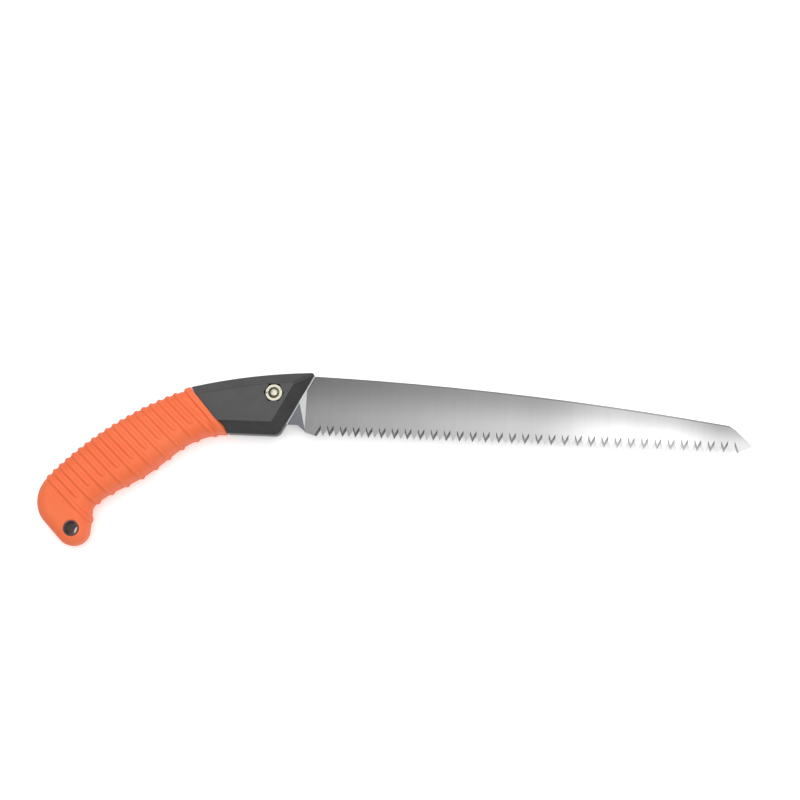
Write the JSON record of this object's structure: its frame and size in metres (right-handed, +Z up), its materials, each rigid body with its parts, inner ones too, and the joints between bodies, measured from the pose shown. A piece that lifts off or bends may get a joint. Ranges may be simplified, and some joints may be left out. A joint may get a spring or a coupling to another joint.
{
  "type": "pruning saw",
  "caption": "Fixed-handle pruning saw: straight taper-ground blade with pull-cut teeth, clamped by one screw in a black bolster with a curved, ribbed rubber grip and a lanyard hole.",
  "frame": {"origin": "middle of the bottom of the saw's box, lying on its side with the nut side up", "axes": "+X along the tooth line from heel to tip, +Y from the teeth towards the blade's spine, +Z up, out of the side that shows the nut"},
  "size_m": [0.4318, 0.1128, 0.0251],
  "materials": {
    "blade_steel": "ground and plated, fine cross grinding",
    "black_nylon": "fine matt texture",
    "orange_rubber": "soft matt",
    "zinc_plate": "zinc plated",
    "nickel_plate": "bright nickel plated"
  },
  "bodies": {
    "handle": {"blade": "blade_steel", "core_shell_nut_side": "black_nylon", "core_shell_screw_side": "black_nylon", "grip_sleeve": "orange_rubber", "core_screws": "zinc_plate", "clamp_nut": "nickel_plate"},
    "washers": {"spring_washer": "zinc_plate", "flat_washer": "zinc_plate"},
    "screw": {"clamp_screw": "nickel_plate"}
  },
  "joints": [
    {"name": "clamp_screw_travel", "type": "slide", "parent": "handle", "child": "washers", "axis": [0, 0, -1], "range_m": [0, 0.0062]},
    {"name": "clamp_screw_turn", "type": "hinge", "parent": "washers", "child": "screw", "pos_m": [-0.07476, 0.04183, 0.006], "axis": [0, 0, -1], "range_deg": [0, 2232]}
  ],
  "couplings": [
    {"joint": "clamp_screw_turn", "follows": "clamp_screw_travel", "rad_per_m": 6283.2}
  ]
}
